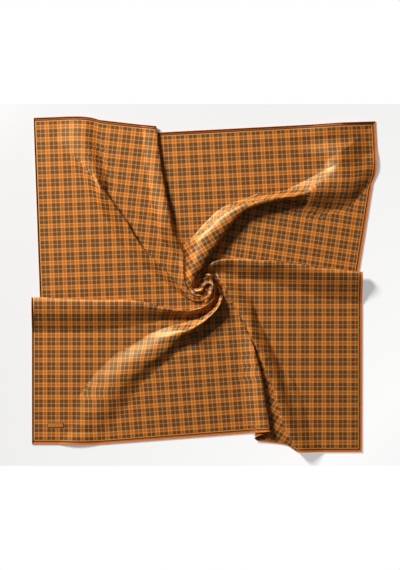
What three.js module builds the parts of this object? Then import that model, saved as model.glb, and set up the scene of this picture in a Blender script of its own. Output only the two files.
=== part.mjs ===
// A square silk scarf laid open on a surface. Its middle is pinched and twisted
// into a rosette, and pleats and soft folds run from there to the four hems.
// Millimetres, +Z up. The origin is on the surface, under the middle of the outline.
import * as THREE from 'three';

// Driving sizes of the cloth
const SIDE = 900;
const HALF = SIDE / 2;
const THICKNESS = 1.2;

// The pinched middle, as laid
const PINCH = { x: 0, y: -5.5 };
const CORE_RADIUS = 120;
const CORE_UNFOLDS = { from: 1.0, to: 0.72 };
const CORE_FLATTENS = { from: 0.8, to: 0.1 };
const SWIRL_REACH = 104;
const SWIRL_TURN = 225;
const DOME_HEIGHT = 14;
const DOME_REACH = 45;

// Cloth sewn on at the lower left corner
const LABEL = { width: 40, height: 13, thickness: 1, corner: 1.2, x: -365.5, y: -346, gap: 0.4 };

// Fineness of the solid
const INNER_CORE_RINGS = [0.12, 0.2, 0.28, 0.36, 0.44, 0.52, 0.6, 0.68, 0.76];
const OUTER_CORE_RINGS = [0.84, 0.92];
const INNER_CORE_STEP = 3;
const OPEN_RINGS = [CORE_RADIUS / HALF, 0.32, 0.38, 0.45, 0.53, 0.62, 0.72, 0.81, 0.9, 1];
const SECTOR_STEPS = 3;

const SCARF_COLOUR = 0x8a5a26;
const LABEL_COLOUR = 0xc9822e;

// The cloth lies almost unstretched between its folds. Each sector is the flat
// square, turned and moved: turn in degrees, x and y of the square's middle.
const SECTORS = [
  { name: 'north_west', turn: 2.1, x: 46.8, y: -22.8, corner: 135 },
  { name: 'north', turn: -6.5, x: -22.2, y: -74.5 },
  { name: 'north_east', turn: 3.0, x: -4.9, y: -70.8, corner: 45 },
  { name: 'east', turn: -9.0, x: -76.4, y: 26.5 },
  { name: 'south_east', turn: 0.0, x: -61.6, y: 38.8, corner: -45 },
  { name: 'south', turn: 4.3, x: -7.4, y: 78.2 },
  { name: 'south_west', turn: 0.0, x: 27.1, y: 58.5, corner: -135 },
];

// One fold follows each sector, clockwise. Its upper edge faces 'on' to the next
// sector or 'back' to the one before. Rows run inward from the hem, by distance
// from the pinch. Bearing is the direction of the edge in degrees. Behind the
// edge lie the crest, the shoulder at mid height and the place where the cloth
// leaves the surface; the apron is the cloth before the edge that isn't flat yet.
// Soft is 1 for a rounded ridge, which falls to the surface within its front, and 0
// for an edge with cloth tucked under it.
// The south pleat has a second edge that faces the first across a hollow, and the
// last column is the share of the tucked cloth that lies under it.
const FOLD_COLUMNS = ['radius', 'bearing', 'height', 'crest', 'shoulder', 'back', 'apron', 'soft', 'front'];
const SECOND_COLUMNS = ['radius', 'bearing', 'height', 'crest', 'shoulder', 'back', 'tucked'];
const FOLDS = [
  { name: 'north_west_dart', faces: 'on', near: 135, rows: [
    [511, 126.0, 10, 10, 24, 50, 50, 1.0, 40],
    [469, 129.5, 16, 9, 26, 60, 50, 1.0, 38],
    [424, 132.4, 18, 8, 26, 56, 48, 1.0, 38],
    [387, 134.5, 18, 8, 26, 52, 46, 0.9, 36],
    [343, 137.0, 17, 7, 24, 48, 44, 0.6, 34],
    [296, 138.0, 15, 6, 22, 44, 40, 0.2, 30],
    [242, 140.5, 13, 5, 20, 40, 36, 0, 26],
    [168, 149.1, 14, 5, 18, 34, 30, 0, 20],
    [80, 160.0, 18, 3, 8, 12, 18, 0, 12],
  ] },
  { name: 'north_pleat', faces: 'on', near: 105, rows: [
    [406, 106.7, 9, 12, 42, 28, 36, 0, 30],
    [330, 109.1, 11, 12, 42, 30, 36, 0, 30],
    [265, 111.8, 13, 12, 40, 34, 36, 0, 30],
    [207, 115.3, 16, 10, 34, 36, 34, 0.2, 28],
    [150, 121.6, 12, 8, 24, 30, 30, 0.6, 24],
    [80, 136.0, 10, 4, 10, 14, 18, 0.8, 12],
  ] },
  { name: 'north_east_dart', faces: 'on', near: 35, rows: [
    [508, 35.4, 4, 7, 18, 34, 34, 1.0, 30],
    [442, 33.6, 10, 9, 24, 50, 38, 1.0, 34],
    [400, 35.0, 14, 10, 26, 55, 40, 0.9, 34],
    [363, 38.1, 18, 10, 28, 55, 40, 0.6, 34],
    [303, 45.7, 20, 9, 26, 52, 38, 0.2, 30],
    [251, 55.4, 22, 14, 28, 48, 36, 0, 28],
    [212, 63.1, 23, 20, 34, 50, 34, 0, 26],
    [150, 68.9, 24, 30, 42, 54, 28, 0, 20],
    [80, 78.0, 24, 14, 24, 36, 20, 0, 14],
  ] },
  { name: 'east_pleat', faces: 'back', near: 3, rows: [
    [383, 4.8, 22, 9, 34, 72, 50, 0, 30],
    [290, 8.3, 21, 9, 32, 68, 48, 0, 30],
    [221, 14.2, 20, 8, 28, 60, 44, 0, 28],
    [146, 24.4, 20, 7, 22, 44, 34, 0, 22],
    [80, 36.0, 20, 5, 14, 26, 20, 0, 14],
  ] },
  { name: 'south_pleat', faces: 'on', near: -55, rows: [
    [398, -59.9, 17, 9, 30, 58, 50, 0, 30],
    [335, -57.0, 17, 9, 30, 58, 46, 0, 30],
    [248, -52.7, 18, 8, 28, 54, 40, 0, 28],
    [165, -45.6, 20, 7, 22, 42, 32, 0, 22],
    [80, -36.0, 20, 5, 14, 26, 20, 0, 14],
  ], second: [
    [389, -65.8, 14, 8, 24, 46, 1.0],
    [315, -62.0, 13, 8, 24, 44, 0.7],
    [224, -54.4, 8, 6, 16, 34, 0.3],
    [178, -48.8, 3, 4, 10, 22, 0],
    [80, -40.0, 1, 3, 8, 16, 0],
  ] },
  { name: 'south_west_dart', faces: 'back', near: -128, rows: [
    [430, -129.0, 6, 14, 30, 46, 70, 1.0, 62],
    [369, -130.4, 10, 16, 40, 70, 70, 1.0, 64],
    [314, -131.8, 15, 16, 40, 70, 66, 1.0, 60],
    [241, -130.0, 18, 14, 36, 60, 56, 1.0, 50],
    [157, -122.2, 20, 10, 26, 46, 40, 0.8, 34],
    [90, -102.0, 20, 5, 14, 26, 22, 0.2, 16],
  ] },
  { name: 'west_pleat', faces: 'on', near: -178, rows: [
    [404, 183.8, 16, 30, 52, 80, 40, 0, 30],
    [297, 186.2, 16, 28, 48, 76, 38, 0, 30],
    [190, 189.7, 17, 20, 38, 64, 34, 0, 26],
    [143, 194.0, 18, 12, 28, 50, 30, 0, 22],
    [80, 206.0, 20, 6, 14, 28, 20, 0, 14],
  ] },
];

// Share of a sector's width that the folds on either side of it may take
const WIDEST_REACH = 0.94;

// A ridge that no fold makes, as a line in the laid scarf: place, height and how far
// it reaches to its left and right, seen from its inner end
const RIDGE_COLUMNS = ['x', 'y', 'height', 'left', 'right'];
const RIDGE_TO_TOP_HEM = [
  [246, 262, 0, 40, 60],
  [286, 262, 6, 40, 70],
  [318, 280, 10, 40, 80],
  [330, 305, 12, 42, 84],
  [330, 345, 12, 42, 80],
  [324, 410, 11, 42, 60],
];

const UNDERFOLD_HEIGHT = 5.5;
const UNDERFOLD_TURN = 4;
const UNDERFOLD_FULL_DEPTH = 24;
const UNTUCKED_SPACING = 6;

function radians(degrees) {
  return degrees * Math.PI / 180;
}

function mix(a, b, share) {
  return a + (b - a) * share;
}

function ease(value) {
  const share = Math.min(1, Math.max(0, value));
  return share * share * (3 - 2 * share);
}

// Angle brought to within half a turn of another one
function nearTo(angle, target) {
  const turn = 2 * Math.PI;
  return angle - turn * Math.round((angle - target) / turn);
}

// All columns of a fold's table at one distance from the pinch, between its rows
function rowAt(rows, columns, radius) {
  const below = rows.findIndex((row) => radius >= row[0]);
  const inner = below < 0 ? rows[rows.length - 1] : rows[below];
  const outer = below < 1 ? inner : rows[below - 1];
  const share = outer === inner ? 0 : (radius - inner[0]) / (outer[0] - inner[0]);
  const shape = {};
  columns.forEach((name, i) => {
    shape[name] = mix(inner[i], outer[i], share);
  });
  return shape;
}

// A ring of the flat cloth is a circle near the middle and the square at the hem
function clothPoint(ring, angle) {
  const square = 1 / Math.max(Math.abs(Math.cos(angle)), Math.abs(Math.sin(angle)));
  const squareness = Math.sqrt(ease((ring - 0.25) / 0.75));
  const radius = HALF * ring * mix(1, square, squareness);
  return { x: radius * Math.cos(angle), y: radius * Math.sin(angle) };
}

function ringLength(ring, from, to) {
  const STEPS = 10;
  let total = 0;
  let before = clothPoint(ring, from);
  for (let i = 1; i <= STEPS; i += 1) {
    const after = clothPoint(ring, mix(from, to, i / STEPS));
    total += Math.hypot(after.x - before.x, after.y - before.y);
    before = after;
  }
  return total;
}

function laid(sector, point) {
  const c = Math.cos(radians(sector.turn));
  const s = Math.sin(radians(sector.turn));
  return { x: sector.x + c * point.x - s * point.y, y: sector.y + s * point.x + c * point.y };
}

function fromPinch(point) {
  const x = point.x - PINCH.x;
  const y = point.y - PINCH.y;
  return { radius: Math.hypot(x, y), angle: Math.atan2(y, x) };
}

// Cloth angle at which a laid sector's ring meets the edge of a fold
function edgeAngle(ring, sector, rows, near) {
  const STEP = 0.05;
  const STEPS = 36;
  const middle = radians(near);
  const past = (angle) => {
    const place = fromPinch(laid(sector, clothPoint(ring, angle)));
    const bearing = rowAt(rows, FOLD_COLUMNS, place.radius).bearing;
    return nearTo(place.angle - radians(bearing), 0);
  };
  let best = null;
  for (let i = -STEPS; i < STEPS; i += 1) {
    const low = past(middle + i * STEP);
    const high = past(middle + (i + 1) * STEP);
    const crosses = low <= 0 && high > 0 && high - low < 2;
    if (crosses && (best === null || Math.abs(i) < Math.abs(best))) {
      best = i;
    }
  }
  let low = middle + best * STEP;
  let high = low + STEP;
  for (let i = 0; i < 24; i += 1) {
    const half = (low + high) / 2;
    if (past(half) < 0) {
      low = half;
    } else {
      high = half;
    }
  }
  return (low + high) / 2;
}

// Point of a clamped cubic B-spline through a section's guide points
function sectionPoint(guides, place) {
  const last = guides.length - 1;
  const span = Math.min(Math.floor(place), last + 1);
  const f = place - span;
  const weights = [
    (1 - f) ** 3 / 6,
    (3 * f ** 3 - 6 * f ** 2 + 4) / 6,
    (-3 * f ** 3 + 3 * f ** 2 + 3 * f + 1) / 6,
    f ** 3 / 6,
  ];
  let across = 0;
  let up = 0;
  weights.forEach((weight, i) => {
    const guide = guides[Math.min(last, Math.max(0, span + i - 2))];
    across += weight * guide[0];
    up += weight * guide[1];
  });
  return { across, up };
}

// The section of a fold: up its back, over the crest, round the edge, back under
// it to the foot and on. The edge is at `edge`, and the whole section is `span` wide.
function foldGuides(span, edge, shape, height, foot, depth) {
  const tucked = ease(depth / UNDERFOLD_FULL_DEPTH);
  const lift = Math.min(UNDERFOLD_HEIGHT, height * 0.4) * tucked;
  const turn = Math.min(UNDERFOLD_TURN, height * 0.3) * tucked;
  const slack = UNTUCKED_SPACING * (1 - tucked);
  const sharp = [
    [edge + height * 0.28, height * 1.02],
    [edge + height * 0.2, height * 0.36],
    [foot + turn - slack, lift],
    [foot - turn, lift],
    [foot - turn + slack, 0],
    [foot + (turn + slack) * 2, 0],
  ];
  const rounded = [
    [edge + shape.crest * 0.8, height * 1.02],
    [edge + shape.front * 0.45, height * 0.62],
    [edge + shape.front * 0.75, height * 0.16],
    [edge + shape.front * 0.9, 0],
    [edge + shape.front, 0],
    [edge + shape.front * 1.06, 0],
  ];
  return [
    [0, 0],
    [edge - shape.back, 0],
    [edge - shape.shoulder, height * 0.55],
    [edge - shape.crest, height * 1.04],
    ...sharp.map(([across, up], i) => [
      mix(across, rounded[i][0], shape.soft),
      mix(up, rounded[i][1], shape.soft),
    ]),
    [span, 0],
  ];
}

// The same with a second edge, which faces back and has its own foot
function doubleGuides(span, edge, shape, foot, depth, secondEdge, second, secondFoot) {
  const firstPart = foldGuides(span, edge, shape, shape.height, foot, depth).slice(0, -1);
  const size = Math.min(1, second.height / 8);
  const lift = UNDERFOLD_HEIGHT * size;
  const turn = UNDERFOLD_TURN * size;
  const slack = UNTUCKED_SPACING * (1 - size);
  const h = second.height;
  return [
    ...firstPart,
    [secondFoot + turn - slack * 3, 0],
    [secondFoot + turn - slack * 2, lift],
    [secondFoot - turn - slack, lift],
    [secondEdge - h * 0.2, h * 0.36],
    [secondEdge - h * 0.28, h * 1.02],
    [secondEdge + second.crest, h * 1.04],
    [secondEdge + second.shoulder, h * 0.55],
    [secondEdge + second.back, 0],
    [span, 0],
  ];
}

function sectionLength(guides) {
  const STEPS = 96;
  const spans = guides.length + 1;
  let total = 0;
  let before = sectionPoint(guides, 0);
  for (let i = 1; i <= STEPS; i += 1) {
    const after = sectionPoint(guides, spans * i / STEPS);
    total += Math.hypot(after.across - before.across, after.up - before.up);
    before = after;
  }
  return total;
}

// The value between two limits at which a growing length is the one needed
function solve(low, high, need, lengthAt) {
  let from = low;
  let to = high;
  for (let i = 0; i < 22; i += 1) {
    const half = (from + to) / 2;
    if (lengthAt(half) < need) {
      from = half;
    } else {
      to = half;
    }
  }
  return (from + to) / 2;
}

// A fold is as deep as the cloth that it has to take up: a low swell where that
// is little, and an edge with cloth tucked under it where it is more
function fittedFold(span, edge, shape, need) {
  const open = edge + 0.55 * (span - edge);
  const deepest = edge - 0.5 * (shape.back + shape.crest);
  const highest = shape.height * (1 + 0.5 * shape.soft);
  const swell = (height) => foldGuides(span, edge, shape, height, open, 0);
  const tuck = (depth) => foldGuides(span, edge, shape, highest, open - depth, depth);
  if (sectionLength(swell(highest)) >= need) {
    return swell(solve(0, highest, need, (height) => sectionLength(swell(height))));
  }
  return tuck(solve(0, open - deepest, need, (depth) => sectionLength(tuck(depth))));
}

function fittedDouble(span, edge, shape, secondEdge, second, need) {
  const open = edge + 12;
  const tuck = (depth) => doubleGuides(
    span, edge, shape, open - depth * (1 - second.tucked), depth * (1 - second.tucked),
    secondEdge, second, secondEdge + depth * second.tucked,
  );
  return tuck(solve(0, 60, need, (depth) => sectionLength(tuck(depth))));
}

function edgesOnRing(ring) {
  return FOLDS.map((fold, i) => ({
    before: edgeAngle(ring, SECTORS[i], fold.rows, fold.near),
    after: edgeAngle(ring, SECTORS[(i + 1) % SECTORS.length], fold.second ?? fold.rows, fold.near),
  }));
}

// A fold's shape on a ring, and the cloth that it asks for before and after its edge
function wantedOnRing(ring, fold, sector, edgeBefore) {
  const radius = fromPinch(laid(sector, clothPoint(ring, edgeBefore))).radius;
  const shape = rowAt(fold.rows, FOLD_COLUMNS, radius);
  const second = fold.second ? rowAt(fold.second, SECOND_COLUMNS, radius) : null;
  const behind = Math.max(shape.back, shape.shoulder) + 4;
  const beyond = second ? second.back + 4 : shape.apron;
  const facesOn = fold.faces === 'on';
  const before = facesOn ? behind : beyond;
  const after = facesOn ? beyond : behind;
  return { radius, shape, second, facesOn, before, after };
}

function narrowed(shape, names, share) {
  const result = { ...shape };
  names.forEach((name) => {
    result[name] *= share;
  });
  return result;
}

// What one ring looks like at one fold: where it starts and ends, and its section
function foldOnRing(ring, before, after, edges, wanted, shares) {
  const { radius, facesOn } = wanted;
  const behindShare = facesOn ? shares.before : shares.after;
  const frontShare = facesOn ? shares.after : shares.before;
  let shape = narrowed(wanted.shape, ['crest', 'shoulder', 'back'], behindShare);
  let second = null;
  if (wanted.second) {
    second = narrowed(wanted.second, ['crest', 'shoulder', 'back'], frontShare);
  } else {
    shape = narrowed(shape, ['apron', 'front'], frontShare);
  }
  const clothRadius = HALF * ring;
  const edgeBefore = edges.before;
  const edgeAfter = edges.after;
  const from = edgeBefore + wanted.before * shares.before / clothRadius;
  const to = edgeAfter - wanted.after * shares.after / clothRadius;
  const upTo = ringLength(ring, from, edgeBefore);
  const hollow = second ? radius * Math.max(0, radians(shape.bearing - second.bearing)) : 0;
  const onward = ringLength(ring, edgeAfter, to);
  const span = upTo + hollow + onward;
  const clothBefore = clothPoint(ring, edgeBefore);
  const clothAfter = clothPoint(ring, edgeAfter);
  const spare = Math.hypot(clothAfter.x - clothBefore.x, clothAfter.y - clothBefore.y);
  const need = Math.max(upTo + spare + onward, span * 1.0005);
  const guides = second
    ? fittedDouble(span, upTo, shape, upTo + hollow, second, need)
    : fittedFold(span, facesOn ? upTo : onward, shape, need);
  const double = second !== null;
  const soft = shape.soft;
  return { facesOn, double, soft, before, after, from, to, edgeBefore, edgeAfter, upTo, onward, span, guides };
}

// Places along a section, in guide spans: close together at the edges and feet
const FOLD_PLACES = [0, 1.5, 2.5, 3, 3.5, 4, 4.5, 5, 5.5, 6, 6.5, 7, 7.5, 8, 8.5, 9, 9.5, 10.5, 12];
const DOUBLE_PLACES = [
  0, 1.5, 2.5, 3, 3.5, 4, 4.5, 5, 5.5, 6, 6.5, 7, 7.5, 8, 8.5, 9, 9.5, 10.5,
  11.5, 12, 12.5, 13, 13.5, 14, 14.5, 15, 15.5, 16, 16.5, 17, 17.5, 18.5, 20,
];
const EDGE_PLACE = 6;
const FOOT_PLACE = 9;
const SECOND_EDGE_PLACE = 15.5;

// The cloth's way across one fold, clockwise
function foldPoints(ring, fold) {
  const places = fold.double ? DOUBLE_PLACES : FOLD_PLACES;
  const ordered = fold.facesOn ? places : [...places].reverse();
  const lastPlace = places[places.length - 1];
  const lastUnder = fold.double ? SECOND_EDGE_PLACE : FOOT_PLACE;
  const points = [];
  let run = 0;
  let last = null;
  ordered.forEach((place) => {
    const spot = sectionPoint(fold.guides, place);
    const across = fold.facesOn ? spot.across : fold.span - spot.across;
    const sharply = ease((place - EDGE_PLACE) / (lastUnder - EDGE_PLACE));
    const softly = ease((place - 1) / (lastPlace - 2));
    const under = mix(sharply, softly, fold.soft);
    const share = fold.facesOn ? under : 1 - under;
    if (last !== null) {
      run += Math.hypot(across - last.across, spot.up - last.up);
    }
    last = { across, up: spot.up };
    const angleBefore = mix(fold.from, fold.edgeBefore, across / fold.upTo);
    const angleAfter = mix(fold.to, fold.edgeAfter, (fold.span - across) / fold.onward);
    const onBefore = laid(fold.before, clothPoint(ring, angleBefore));
    const onAfter = laid(fold.after, clothPoint(ring, angleAfter));
    const x = mix(onBefore.x, onAfter.x, share);
    const y = mix(onBefore.y, onAfter.y, share);
    points.push({ x, y, z: spot.up, run });
  });
  points.forEach((point) => {
    const cloth = clothPoint(ring, mix(fold.from, fold.to, point.run / run));
    point.u = cloth.x;
    point.v = cloth.y;
  });
  return points;
}

function foldsOnRing(ring) {
  const count = FOLDS.length;
  const edges = edgesOnRing(ring);
  const wanted = FOLDS.map((fold, i) => wantedOnRing(ring, fold, SECTORS[i], edges[i].before));
  const shares = wanted.map((here, i) => {
    const last = (i + count - 1) % count;
    const from = edges[last].after;
    const room = ringLength(ring, from, nearTo(edges[i].before, from - Math.PI / 4));
    return Math.min(1, WIDEST_REACH * room / (wanted[last].after + here.before));
  });
  return FOLDS.map((fold, i) => {
    const next = (i + 1) % count;
    const both = { before: shares[i], after: shares[next] };
    return foldOnRing(ring, SECTORS[i], SECTORS[next], edges[i], wanted[i], both);
  });
}

// Where a sector starts and ends on a ring, as cloth angles
function sectorRange(fold, nextFold) {
  return { start: fold.to, end: nearTo(nextFold.from, fold.to - Math.PI / 4) };
}

// Share of a sector's width at which the square has its corner, if it has one
const CORNER_SHARES = (() => {
  const hem = foldsOnRing(1);
  return SECTORS.map((sector, i) => {
    if (sector.corner === undefined) {
      return null;
    }
    const range = sectorRange(hem[(i + SECTORS.length - 1) % SECTORS.length], hem[i]);
    const corner = nearTo(radians(sector.corner), range.start);
    return (corner - range.start) / (range.end - range.start);
  });
})();

// The flat cloth from one fold to the next, with a point at the square's corner
function sectorPoints(ring, number, fold, nextFold) {
  const sector = SECTORS[number];
  const corner = CORNER_SHARES[number];
  const stops = corner === null ? [0, 1] : [0, corner, 1];
  const shares = [];
  for (let s = 1; s < stops.length; s += 1) {
    for (let i = 1; i <= SECTOR_STEPS; i += 1) {
      shares.push(mix(stops[s - 1], stops[s], i / SECTOR_STEPS));
    }
  }
  shares.pop();
  const range = sectorRange(fold, nextFold);
  return shares.map((share) => {
    const cloth = clothPoint(ring, mix(range.start, range.end, share));
    const place = laid(sector, cloth);
    return { x: place.x, y: place.y, z: 0, u: cloth.x, v: cloth.y };
  });
}

// One whole ring of the laid cloth, clockwise
function openRing(ring) {
  const folds = foldsOnRing(ring);
  const points = [];
  folds.forEach((fold, i) => {
    const next = (i + 1) % folds.length;
    points.push(...foldPoints(ring, fold));
    points.push(...sectorPoints(ring, next, fold, folds[next]));
  });
  return points;
}

function fading(share, limits) {
  return ease((share - limits.to) / (limits.from - limits.to));
}

// A ring of the rosette: the innermost open ring drawn in, its folds evened out
function coreRing(share, first) {
  const places = first.map(fromPinch);
  const meanRadius = places.reduce((sum, place) => sum + place.radius, 0) / places.length;
  const folded = fading(share, CORE_UNFOLDS);
  const raised = fading(share, CORE_FLATTENS);
  return first.map((point, i) => {
    const angle = places[i].angle;
    const even = nearTo(Math.atan2(point.v, point.u), angle);
    const turned = mix(even, angle, folded);
    const radius = mix(meanRadius, places[i].radius, folded) * share;
    return {
      x: PINCH.x + radius * Math.cos(turned),
      y: PINCH.y + radius * Math.sin(turned),
      z: point.z * raised,
      u: point.u * share,
      v: point.v * share,
    };
  });
}

// The twist turns what lies near the pinch, and the middle stands up a little
function twisted(point) {
  const place = fromPinch(point);
  const share = Math.max(0, 1 - place.radius / SWIRL_REACH);
  const angle = place.angle + radians(SWIRL_TURN) * share ** 2;
  const dome = DOME_HEIGHT * Math.exp(-((place.radius / DOME_REACH) ** 2));
  return {
    x: PINCH.x + place.radius * Math.cos(angle),
    y: PINCH.y + place.radius * Math.sin(angle),
    z: point.z + dome + THICKNESS / 2,
    u: point.u,
    v: point.v,
  };
}

// Height of the ridge at a point: full on its line and none at its reach
function ridgeHeight(point) {
  const STEPS = 12;
  let nearest = { away: Infinity };
  for (let i = 1; i < RIDGE_TO_TOP_HEM.length; i += 1) {
    const from = RIDGE_TO_TOP_HEM[i - 1];
    const to = RIDGE_TO_TOP_HEM[i];
    for (let k = 0; k <= STEPS; k += 1) {
      const line = {};
      RIDGE_COLUMNS.forEach((name, c) => {
        line[name] = mix(from[c], to[c], k / STEPS);
      });
      const away = Math.hypot(point.x - line.x, point.y - line.y);
      if (away < nearest.away) {
        const side = (to[0] - from[0]) * (point.y - line.y) - (to[1] - from[1]) * (point.x - line.x);
        nearest = { away, height: line.height, reach: side > 0 ? line.left : line.right };
      }
    }
  }
  const part = Math.min(1, nearest.away / nearest.reach);
  return nearest.height * (1 - part ** 2) ** 2;
}

function ridged(point) {
  return { ...point, z: point.z + ridgeHeight(point) };
}

// Rings from the middle to the hem; the inner ones have fewer points
function scarfRings() {
  const open = OPEN_RINGS.map(openRing);
  const outerCore = OUTER_CORE_RINGS.map((share) => coreRing(share, open[0]));
  const sparse = open[0].filter((point, i) => i % INNER_CORE_STEP === 0);
  const innerCore = INNER_CORE_RINGS.map((share) => coreRing(share, sparse));
  return [...innerCore, ...outerCore, ...open].map((ring) => ring.map(twisted).map(ridged));
}

// The middle surface: triangles that face up, and the points along the hem
function middleSurface(rings) {
  const points = [new THREE.Vector3()];
  const triangles = [];
  let inner = null;
  rings.forEach((ring) => {
    const first = points.length;
    ring.forEach((point) => points.push(new THREE.Vector3(point.x, point.y, point.z)));
    const outer = ring.map((point, i) => first + i);
    const step = inner === null ? 0 : Math.ceil(outer.length / inner.length);
    outer.forEach((here, i) => {
      const next = outer[(i + 1) % outer.length];
      if (inner === null) {
        triangles.push([0, next, here]);
        return;
      }
      const k = Math.floor(i / step);
      const across = inner[k];
      const acrossNext = inner[(k + 1) % inner.length];
      triangles.push([across, next, here]);
      if ((i + 1) % step === 0 || i + 1 === outer.length) {
        triangles.push([across, acrossNext, next]);
      }
    });
    inner = outer;
  });
  const centre = points[0];
  rings[0].forEach((point, i) => centre.add(points[i + 1]));
  centre.divideScalar(rings[0].length);
  return { points, triangles, rim: inner };
}

// A closed sheet of even thickness around a middle surface
function thickened(surface, thickness) {
  const { points, triangles, rim } = surface;
  const normals = points.map(() => new THREE.Vector3());
  triangles.forEach(([a, b, c]) => {
    const facing = points[b].clone().sub(points[a]).cross(points[c].clone().sub(points[a]));
    [a, b, c].forEach((corner) => normals[corner].add(facing));
  });
  const positions = [];
  [thickness / 2, -thickness / 2].forEach((offset) => {
    points.forEach((point, i) => {
      const moved = point.clone().addScaledVector(normals[i].clone().normalize(), offset);
      positions.push(moved.x, moved.y, moved.z);
    });
  });
  const under = points.length;
  const index = triangles.flatMap(([a, b, c]) => [a, b, c, under + a, under + c, under + b]);
  rim.forEach((here, i) => {
    const next = rim[(i + 1) % rim.length];
    index.push(here, next, under + next, here, under + next, under + here);
  });
  const geometry = new THREE.BufferGeometry();
  geometry.setAttribute('position', new THREE.Float32BufferAttribute(positions, 3));
  geometry.setIndex(index);
  geometry.computeVertexNormals();
  return geometry;
}

function scarf() {
  const material = new THREE.MeshStandardMaterial({ color: SCARF_COLOUR, roughness: 0.55, metalness: 0 });
  const mesh = new THREE.Mesh(thickened(middleSurface(scarfRings()), THICKNESS), material);
  mesh.name = 'scarf';
  return mesh;
}

// A small woven label with slightly rounded corners, sewn flat to the cloth
function cornerLabel() {
  const x = LABEL.width / 2;
  const y = LABEL.height / 2;
  const r = LABEL.corner;
  const outline = new THREE.Shape();
  outline.moveTo(-x + r, -y);
  outline.lineTo(x - r, -y);
  outline.quadraticCurveTo(x, -y, x, -y + r);
  outline.lineTo(x, y - r);
  outline.quadraticCurveTo(x, y, x - r, y);
  outline.lineTo(-x + r, y);
  outline.quadraticCurveTo(-x, y, -x, y - r);
  outline.lineTo(-x, -y + r);
  outline.quadraticCurveTo(-x, -y, -x + r, -y);
  const geometry = new THREE.ExtrudeGeometry(outline, {
    depth: LABEL.thickness,
    bevelEnabled: false,
    curveSegments: 3,
  });
  const material = new THREE.MeshStandardMaterial({ color: LABEL_COLOUR, roughness: 0.7, metalness: 0 });
  const mesh = new THREE.Mesh(geometry, material);
  mesh.name = 'corner_label';
  mesh.position.set(LABEL.x, LABEL.y, THICKNESS + LABEL.gap);
  return mesh;
}

const part = new THREE.Group();
part.add(scarf());
part.add(cornerLabel());

export default part;
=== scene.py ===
import math

import bpy
import numpy as np
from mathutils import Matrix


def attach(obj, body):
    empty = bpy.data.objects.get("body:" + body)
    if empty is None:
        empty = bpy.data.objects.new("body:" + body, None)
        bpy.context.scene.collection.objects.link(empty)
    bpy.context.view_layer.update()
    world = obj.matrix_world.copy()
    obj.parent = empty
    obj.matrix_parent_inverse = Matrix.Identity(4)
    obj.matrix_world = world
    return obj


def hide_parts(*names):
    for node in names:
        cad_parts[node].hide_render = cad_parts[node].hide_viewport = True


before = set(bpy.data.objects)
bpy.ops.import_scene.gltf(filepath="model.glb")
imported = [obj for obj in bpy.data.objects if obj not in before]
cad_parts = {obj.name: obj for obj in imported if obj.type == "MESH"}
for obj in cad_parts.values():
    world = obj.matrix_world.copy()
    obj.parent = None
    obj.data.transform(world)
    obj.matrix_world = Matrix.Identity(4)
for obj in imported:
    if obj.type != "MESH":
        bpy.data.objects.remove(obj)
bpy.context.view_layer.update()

# The flat square, in millimetres
SIDE = 900.0
HALF = SIDE / 2
MM = 0.001

# The pinched middle, as laid. A pair holds two shares of the core's radius: where a ring
# is as folded or as high as the innermost open ring, and where that has faded
PINCH = np.array([0.0, -5.5])
CORE_RADIUS = 150.0
CORE_INNERMOST = 0.03
CORE_UNFOLDS = (0.98, 0.8)
CORE_FLATTENS = (0.8, 0.15)
CORE_HEIGHT_LEFT = 0.35
DOME_HEIGHT = 6.0
DOME_REACH = 45.0
# Share of a sector's width that the folds on both sides of it may take together
WIDEST_REACH = 0.94
# Share of the spare cloth that a soft ridge gathers unseen
SOFT_GATHER = 0.85
CLOTH_LIFT = 0.3
# Share of the half side within which the rings of the flat cloth are circles
ROUND_UNTIL = 0.25

# Each sector of cloth lies flat: turn in degrees, place of the square's middle,
# and the corner of the square that it holds
SECTORS = [
    {"name": "north_west", "turn": 2.1, "x": 46.8, "y": -22.8, "corner": 135},
    {"name": "north", "turn": -6.5, "x": -22.2, "y": -74.5, "corner": None},
    {"name": "north_east", "turn": 3.0, "x": -4.9, "y": -70.8, "corner": 45},
    {"name": "east", "turn": -9.0, "x": -76.4, "y": 26.5, "corner": None},
    {"name": "south_east", "turn": 0.0, "x": -61.6, "y": 38.8, "corner": -45},
    {"name": "south", "turn": 4.3, "x": -7.4, "y": 78.2, "corner": None},
    {"name": "south_west", "turn": 0.0, "x": 27.1, "y": 58.5, "corner": -135},
]

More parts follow.
